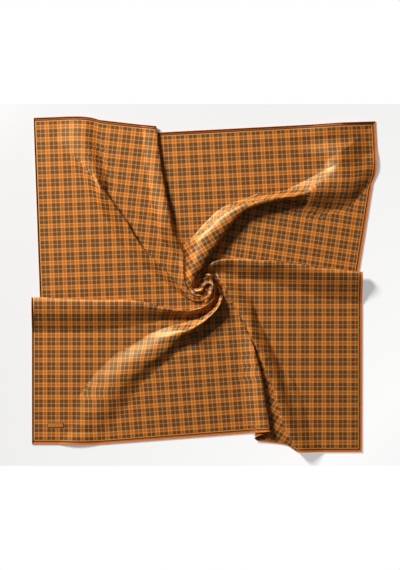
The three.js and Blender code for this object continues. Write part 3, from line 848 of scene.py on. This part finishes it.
def with_turned_check(rings, columns, inside, middle, start, degrees):
    """The cloth inside turned in its own plane, from this start at the middle"""
    turn = math.radians(degrees)
    c, s = math.cos(turn), math.sin(turn)
    chosen = rings[:, columns]
    away = chosen[..., :2] - np.array(middle)
    turned_x = start[0] + c * away[..., 0] + s * away[..., 1]
    turned_y = start[1] - s * away[..., 0] + c * away[..., 1]
    chosen[..., 3] = np.where(inside, turned_x, chosen[..., 3])
    chosen[..., 4] = np.where(inside, turned_y, chosen[..., 4])
    rings[:, columns] = chosen
    return rings


def with_tube_pattern(rings):
    """The same cloth, turned where it is rolled over into the tube"""
    first = EDGE_COLUMNS[named(FOLDS, "north_pleat")]
    last = EDGE_COLUMNS[named(FOLDS, "north_east_dart")]
    columns = np.arange(first, last + 1)
    radius, angle = from_pinch(rings[:, columns, :2])
    crease = np.interp(radius, [row[0] for row in TUBE_CREASE], [row[1] for row in TUBE_CREASE])
    past = near_to(angle - np.radians(crease), 0.0)
    inside = (past < 0) & (radius < TUBE_CREASE[-1][0]) & (radius > TUBE_INNER)
    north = SECTORS[named(SECTORS, "north")]
    start = (TUBE_MIDDLE[0] - north["x"], TUBE_MIDDLE[1] - north["y"])
    return with_turned_check(rings, columns, inside, TUBE_MIDDLE, start, TUBE_TURN)


def with_layer_pattern(rings):
    """The same cloth, turned where the layer shows, up to the hem"""
    edge = EDGE_COLUMNS[named(FOLDS, "south_pleat")]
    second_edge = edge + int((SECOND_EDGE_PLACE - EDGE_PLACE) * FOLD_STEPS)
    columns = np.arange(edge + LAYER_MARGIN, second_edge - LAYER_MARGIN)
    radius, _ = from_pinch(rings[:, columns, :2])
    inside = radius > LAYER_INNER
    inside[-1] = False
    return with_turned_check(rings, columns, inside, LAYER_MIDDLE, LAYER_MIDDLE, LAYER_TURN)


def with_core_pattern(rings):
    """The cloth that shows in the rosette lies unstretched, as it does beside it"""
    rim = rings[CORE_RINGS]
    turn = -np.radians(column_turns())
    c, s = np.cos(turn), np.sin(turn)
    away = rings[:CORE_RINGS, :, :2] - rim[None, :, :2]
    rings[:CORE_RINGS, :, 3] = rim[:, 3] + c * away[..., 0] - s * away[..., 1]
    rings[:CORE_RINGS, :, 4] = rim[:, 4] + s * away[..., 0] + c * away[..., 1]
    return rings


def scarf_rings():
    """Every ring from the pinch to the hem, with its place in the plan and on the cloth"""
    shares = np.linspace(CORE_INNERMOST, 1, CORE_RINGS + 1)[:-1]
    open_values = CORE_RADIUS / HALF + (1 - CORE_RADIUS / HALF) * np.linspace(0, 1, OPEN_RINGS)
    open_values[-1] = 1.0
    opened = [open_ring(float(ring)) for ring in open_values]
    core = [core_ring(float(share), opened[0]) for share in shares]
    rings = domed(np.stack(core + opened))
    return stroked(with_layer_pattern(with_tube_pattern(with_core_pattern(rings))))


def hem_rings(rings):
    """The rolled hem: the last ring curled up and over onto the cloth"""
    rim = rings[-1, :, :3]
    outward = unit(rim - rings[-3, :, :3])
    along = unit(np.roll(rim, -1, axis=0) - np.roll(rim, 1, axis=0))
    up = unit(np.cross(outward, along))
    up *= np.where(up[:, 2:] < HEM_TURNED_OVER, -1, 1)
    curled = []
    for turn in np.radians(np.linspace(*HEM_CURL, HEM_STEPS)):
        ring = rings[-1].copy()
        ring[:, :3] = rim + HEM_ROLL * (outward * np.sin(turn) + up * (1 - np.cos(turn)))
        curled.append(ring)
    return np.stack(curled)


def scarf_mesh():
    rings = scarf_rings()
    rings = np.concatenate([rings, hem_rings(rings)])
    count, around = rings.shape[:2]
    middle = np.concatenate([rings[0, :, :3].mean(axis=0), [0.0, 0.0]])
    points = np.vstack([middle, rings.reshape(-1, 5)])
    index = 1 + np.arange(count * around).reshape(count, around)
    following = np.roll(index, -1, axis=1)
    quads = np.stack([index[:-1], following[:-1], following[1:], index[1:]], axis=-1)
    quads = quads.reshape(-1, 4)[:, ::-1]
    fan = [(0, int(following[0, i]), int(index[0, i])) for i in range(around)]
    faces = fan + [tuple(int(v) for v in quad) for quad in quads]
    mesh = bpy.data.meshes.new("silk_square")
    mesh.from_pydata((points[:, :3] * MM).tolist(), [], faces)
    layer = mesh.uv_layers.new(name="cloth")
    corners = np.empty(len(mesh.loops), dtype=np.int32)
    mesh.loops.foreach_get("vertex_index", corners)
    layer.data.foreach_set("uv", (points[corners, 3:] * MM).ravel())
    mesh.polygons.foreach_set("use_smooth", np.ones(len(mesh.polygons), dtype=bool))
    mesh.update()
    return mesh


def add_piece(name, mesh, node, slot, *materials):
    piece = bpy.data.objects.new(name, mesh)
    bpy.context.scene.collection.objects.link(piece)
    for material in materials:
        mesh.materials.append(material)
    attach(piece, "root")
    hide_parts(node)
    return piece


# Check of the silk, in metres of flat cloth. The count of repeats starts from the middle
# of one, and from far enough that it stays above 0
REPEAT_ACROSS = 0.03103
REPEAT_DOWN = 0.0305
COUNT_START = 200.5
BROWN = (0.108, 0.024, 0.002, 1)
ORANGE = (0.570, 0.116, 0.004, 1)
LIGHT = (0.830, 0.310, 0.040, 1)
THIN = (0.640, 0.270, 0.070, 1)
HEM_BROWN = (0.070, 0.016, 0.003, 1)
# By the distance from the middle of a repeat, in repeats
THREAD_BANDS = [
    (0.0, THIN), (0.030, THIN), (0.038, BROWN), (0.313, BROWN), (0.321, LIGHT),
    (0.410, LIGHT), (0.418, ORANGE), (0.5, ORANGE),
]
# By the distance from the hem, in parts of HEM_RAMP
HEM_BANDS = [
    (0.0, ORANGE), (0.205, ORANGE), (0.215, HEM_BROWN), (0.375, HEM_BROWN),
    (0.385, LIGHT), (0.45, LIGHT),
]
HEM_RAMP = 0.02
HEM_INNER = 0.0092
LEFT_HEM_SHIFT = 0.0042
RIB_SPACING = 0.0006
SHADE_LEAST = 0.88
SHADE_RANGE = 0.24


def new_group(name, inputs, outputs):
    group = bpy.data.node_groups.new(name, "ShaderNodeTree")
    for title, kind, value in inputs:
        socket = group.interface.new_socket(name=title, in_out="INPUT", socket_type=kind)
        if value is not None:
            socket.default_value = value
    for title, kind in outputs:
        group.interface.new_socket(name=title, in_out="OUTPUT", socket_type=kind)
    return group, group.nodes.new("NodeGroupInput"), group.nodes.new("NodeGroupOutput")


def calculate(tree, operation, first, second=None, third=None):
    node = tree.nodes.new("ShaderNodeMath")
    node.operation = operation
    for socket, value in zip(node.inputs, (first, second, third)):
        if value is None:
            continue
        if isinstance(value, (int, float)):
            socket.default_value = value
        else:
            tree.links.new(value, socket)
    return node.outputs[0]


def blended(tree, share, first, second, blend="MIX"):
    node = tree.nodes.new("ShaderNodeMix")
    node.data_type = "RGBA"
    node.blend_type = blend
    for socket, value in ((node.inputs[0], share), (node.inputs[6], first), (node.inputs[7], second)):
        if isinstance(value, (int, float, tuple)):
            socket.default_value = value
        else:
            tree.links.new(value, socket)
    return node.outputs[2]


def coloured(tree, value, stops):
    """Colours of a ramp at this value"""
    ramp = tree.nodes.new("ShaderNodeValToRGB")
    ramp.color_ramp.interpolation = "LINEAR"
    elements = ramp.color_ramp.elements
    elements[0].position, elements[0].color = stops[0]
    elements[1].position, elements[1].color = stops[-1]
    for position, colour in stops[1:-1]:
        elements.new(position).color = colour
    tree.links.new(value, ramp.inputs[0])
    return ramp.outputs[0]


def set_inputs(node, values):
    for title, value in values.items():
        node.inputs[title].default_value = value


def new_material(name):
    material = bpy.data.materials.new(name)
    material.use_nodes = True
    tree = material.node_tree
    return material, tree, tree.nodes["Principled BSDF"]


def thread_colours(tree, coordinate, repeat, phase):
    """Colours of one set of threads, by the distance from the middle of a repeat"""
    count = calculate(tree, "MULTIPLY_ADD", coordinate, 1 / repeat, phase + COUNT_START)
    part = calculate(tree, "FRACT", count)
    away = calculate(tree, "ABSOLUTE", calculate(tree, "SUBTRACT", part, 0.5))
    return coloured(tree, away, THREAD_BANDS)


def checked_silk_group():
    group, entry, exit_node = new_group(
        "crossed_bands",
        [("Cloth", "NodeSocketVector", None)],
        [("Color", "NodeSocketColor"), ("Twill", "NodeSocketFloat"), ("Shade", "NodeSocketFloat")],
    )
    apart = group.nodes.new("ShaderNodeSeparateXYZ")
    group.links.new(entry.outputs["Cloth"], apart.inputs[0])
    x, y = apart.outputs[0], apart.outputs[1]
    warp = thread_colours(group, x, REPEAT_ACROSS, 0.0)
    weft = thread_colours(group, y, REPEAT_DOWN, 0.5)
    woven = blended(group, 0.5, warp, weft)

    # Distance in from the nearest hem; the left one is turned further under
    half = HALF * MM
    from_right = calculate(group, "SUBTRACT", half, x)
    from_left = calculate(group, "ADD", calculate(group, "ADD", x, half), LEFT_HEM_SHIFT)
    from_ends = calculate(group, "SUBTRACT", half, calculate(group, "ABSOLUTE", y))
    from_sides = calculate(group, "MINIMUM", from_right, from_left)
    inward = calculate(group, "MINIMUM", from_sides, from_ends)
    hem = coloured(group, calculate(group, "MULTIPLY", inward, 1 / HEM_RAMP), HEM_BANDS)
    inside = calculate(group, "GREATER_THAN", inward, HEM_INNER)
    colour = blended(group, inside, hem, woven)

    # Fine diagonal ribs of the twill, and threads that took the dye unevenly
    diagonal = calculate(group, "ADD", x, y)
    ribs = calculate(group, "SINE", calculate(group, "MULTIPLY", diagonal, 2 * math.pi / RIB_SPACING))
    uneven = group.nodes.new("ShaderNodeTexNoise")
    set_inputs(uneven, {"Scale": 60.0, "Detail": 6.0})
    group.links.new(entry.outputs["Cloth"], uneven.inputs["Vector"])
    group.links.new(colour, exit_node.inputs["Color"])
    group.links.new(ribs, exit_node.inputs["Twill"])
    group.links.new(uneven.outputs["Fac"], exit_node.inputs["Shade"])
    return group


def silk_material():
    material, tree, shader = new_material("printed_silk_twill")
    cloth = tree.nodes.new("ShaderNodeUVMap")
    cloth.uv_map = "cloth"
    bands = tree.nodes.new("ShaderNodeGroup")
    bands.node_tree = checked_silk_group()
    tree.links.new(cloth.outputs[0], bands.inputs[0])
    shade = calculate(tree, "MULTIPLY_ADD", bands.outputs["Shade"], SHADE_RANGE, SHADE_LEAST)
    grey = tree.nodes.new("ShaderNodeCombineColor")
    for channel in grey.inputs:
        tree.links.new(shade, channel)
    toned = blended(tree, 1.0, bands.outputs["Color"], grey.outputs[0], "MULTIPLY")
    tree.links.new(toned, shader.inputs["Base Color"])
    bump = tree.nodes.new("ShaderNodeBump")
    set_inputs(bump, {"Strength": 0.12, "Distance": 0.00008})
    tree.links.new(bands.outputs["Twill"], bump.inputs["Height"])
    tree.links.new(bump.outputs[0], shader.inputs["Normal"])
    set_inputs(shader, {
        "Roughness": 0.52,
        "Specular IOR Level": 1.0,
        "IOR": 1.6,
        "Specular Tint": (1.0, 0.86, 0.48, 1),
        "Sheen Weight": 0.08,
        "Sheen Roughness": 0.4,
        "Sheen Tint": (1.0, 0.72, 0.45, 1),
    })
    return material


def thread_material(name, texture, settings, colours, roughness):
    """Fine threads between two close colours"""
    material, tree, shader = new_material(name)
    place = tree.nodes.new("ShaderNodeTexCoord")
    threads = tree.nodes.new(texture)
    set_inputs(threads, settings)
    tree.links.new(place.outputs["Object"], threads.inputs["Vector"])
    stops = list(zip((0.0, 1.0), colours))
    tree.links.new(coloured(tree, threads.outputs["Fac"], stops), shader.inputs["Base Color"])
    shader.inputs["Roughness"].default_value = roughness
    return material


def ribbon_material():
    return thread_material(
        "orange_ribbon", "ShaderNodeTexWave", {"Scale": 400.0, "Distortion": 0.6},
        [(0.42, 0.13, 0.012, 1), (0.60, 0.21, 0.025, 1)], 0.5,
    )


# Painted shade: a dark colour for the label's rim, standing in for the shade along its edges
def painted_rim_shade_material():
    return thread_material(
        "label_painted_rim_shade", "ShaderNodeTexNoise", {"Scale": 900.0},
        [(0.05, 0.016, 0.004, 1), (0.15, 0.05, 0.01, 1)], 0.7,
    )


# Small woven label, in millimetres: its steps, the width of its dark rim of painted shade in steps,
# how far its rim drops as a share of its thickness, and how far its ends and sides draw in
LABEL = {"width": 40.0, "height": 13.0, "thickness": 0.9, "x": -365.5, "y": -346.0, "base": 0.5}
LABEL_STEPS_X = 40
LABEL_STEPS_Y = 13
LABEL_PAINTED_SHADE_RIM = 2
LABEL_RIM_DROP = 0.85
LABEL_ENDS_IN = 0.004
LABEL_SIDES_IN = 0.012


def label_mesh():
    """A ribbon with a slightly raised middle and a dark rim all round, painted shade along its edges
    """
    points, faces, marks = [], [], []
    for y in np.linspace(-1, 1, LABEL_STEPS_Y + 1):
        for x in np.linspace(-1, 1, LABEL_STEPS_X + 1):
            rim = max(abs(x) ** 12, abs(y) ** 6)
            points.append((
                LABEL["x"] + x * LABEL["width"] / 2 * (1 - LABEL_ENDS_IN * y * y),
                LABEL["y"] + y * LABEL["height"] / 2 * (1 - LABEL_SIDES_IN * x * x),
                LABEL["base"] + LABEL["thickness"] * (1 - LABEL_RIM_DROP * rim),
            ))
    for j in range(LABEL_STEPS_Y):
        for i in range(LABEL_STEPS_X):
            a = j * (LABEL_STEPS_X + 1) + i
            faces.append((a, a + 1, a + LABEL_STEPS_X + 2, a + LABEL_STEPS_X + 1))
            from_rim = min(i, j, LABEL_STEPS_X - 1 - i, LABEL_STEPS_Y - 1 - j)
            # Faces near the rim get the dark painted shade
            marks.append(1 if from_rim < LABEL_PAINTED_SHADE_RIM else 0)
    mesh = bpy.data.meshes.new("label_ribbon")
    mesh.from_pydata([(x * MM, y * MM, z * MM) for x, y, z in points], [], faces)
    mesh.polygons.foreach_set("use_smooth", np.ones(len(faces), dtype=bool))
    mesh.update()
    return mesh, marks


scarf = add_piece("silk_scarf", scarf_mesh(), "scarf", "silk", silk_material())
ribbon, painted_rim_shade_marks = label_mesh()
# The label's second material is the dark rim of painted shade
label = add_piece("bare_label", ribbon, "corner_label", "label", ribbon_material(), painted_rim_shade_material())
ribbon.polygons.foreach_set("material_index", np.array(painted_rim_shade_marks, dtype=np.int32))


# Pale floor, soft light from the upper left, camera straight above, in metres. The floor
# is paler to the lower right: its glow in the middle, its rise and its most
FLOOR_TOP = 0.4452
FLOOR_BOTTOM = -0.4464
FLOOR_SIDE = 3
FLOOR_GLOW = 0.25
FLOOR_GLOW_RISE = 0.31
FLOOR_GLOW_MOST = 0.48
CAMERA_X = -0.0099
CAMERA_Y = -0.0006
VIEW_HEIGHT = 1.404
LENS = 135.0
SENSOR = 36.0


def floor():
    mesh = bpy.data.meshes.new("pale_floor")
    mesh.from_pydata([
        (-FLOOR_SIDE, FLOOR_BOTTOM, 0), (FLOOR_SIDE, FLOOR_BOTTOM, 0),
        (FLOOR_SIDE, FLOOR_TOP, 0), (-FLOOR_SIDE, FLOOR_TOP, 0),
    ], [], [(0, 1, 2, 3)])
    plane = bpy.data.objects.new("pale_floor", mesh)
    bpy.context.scene.collection.objects.link(plane)
    material, tree, shader = new_material("pale_paper")
    place = tree.nodes.new("ShaderNodeTexCoord")
    apart = tree.nodes.new("ShaderNodeSeparateXYZ")
    tree.links.new(place.outputs["Object"], apart.inputs[0])
    away = calculate(tree, "SUBTRACT", apart.outputs[0], apart.outputs[1])
    glow = calculate(tree, "MULTIPLY_ADD", away, FLOOR_GLOW_RISE, FLOOR_GLOW)
    kept = calculate(tree, "MINIMUM", calculate(tree, "MAXIMUM", glow, 0.0), FLOOR_GLOW_MOST)
    tree.links.new(kept, shader.inputs["Emission Strength"])
    set_inputs(shader, {
        "Base Color": (0.71, 0.712, 0.718, 1),
        "Emission Color": (1, 1, 1, 1),
        "Roughness": 0.9,
        "Specular IOR Level": 0.1,
    })
    mesh.materials.append(material)


def soft_light(name, place, size, power, colour):
    data = bpy.data.lights.new(name, "AREA")
    data.shape = "SQUARE"
    data.size = size
    data.energy = power
    data.color = colour
    lamp = bpy.data.objects.new(name, data)
    bpy.context.scene.collection.objects.link(lamp)
    lamp.location = place
    lamp.rotation_mode = "QUATERNION"
    lamp.rotation_quaternion = (-lamp.location).to_track_quat("-Z", "Y")


def studio():
    """One soft light, and a world that shows white and fills the shadows a little"""
    soft_light("key", (-2.6, 2.7, 1.95), 1.0, 330.0, (1.0, 0.99, 0.975))
    world = bpy.data.worlds.new("studio")
    bpy.context.scene.world = world
    world.use_nodes = True
    tree = world.node_tree
    shown = tree.nodes["Background"]
    shown.inputs[0].default_value = (1, 1, 1, 1)
    shown.inputs[1].default_value = 1.0
    fill = tree.nodes.new("ShaderNodeBackground")
    fill.inputs[0].default_value = (1.0, 0.96, 0.93, 1)
    fill.inputs[1].default_value = 0.075
    path = tree.nodes.new("ShaderNodeLightPath")
    choice = tree.nodes.new("ShaderNodeMixShader")
    tree.links.new(path.outputs["Is Camera Ray"], choice.inputs[0])
    tree.links.new(fill.outputs[0], choice.inputs[1])
    tree.links.new(shown.outputs[0], choice.inputs[2])
    tree.links.new(choice.outputs[0], tree.nodes["World Output"].inputs[0])


def camera():
    data = bpy.data.cameras.new("above")
    data.lens = LENS
    data.sensor_width = SENSOR
    data.clip_end = 50
    view = bpy.data.objects.new("above", data)
    bpy.context.scene.collection.objects.link(view)
    view.location = (CAMERA_X, CAMERA_Y, VIEW_HEIGHT * LENS / SENSOR)
    bpy.context.scene.camera = view


floor()
studio()
camera()
bpy.context.scene.view_settings.view_transform = "Standard"
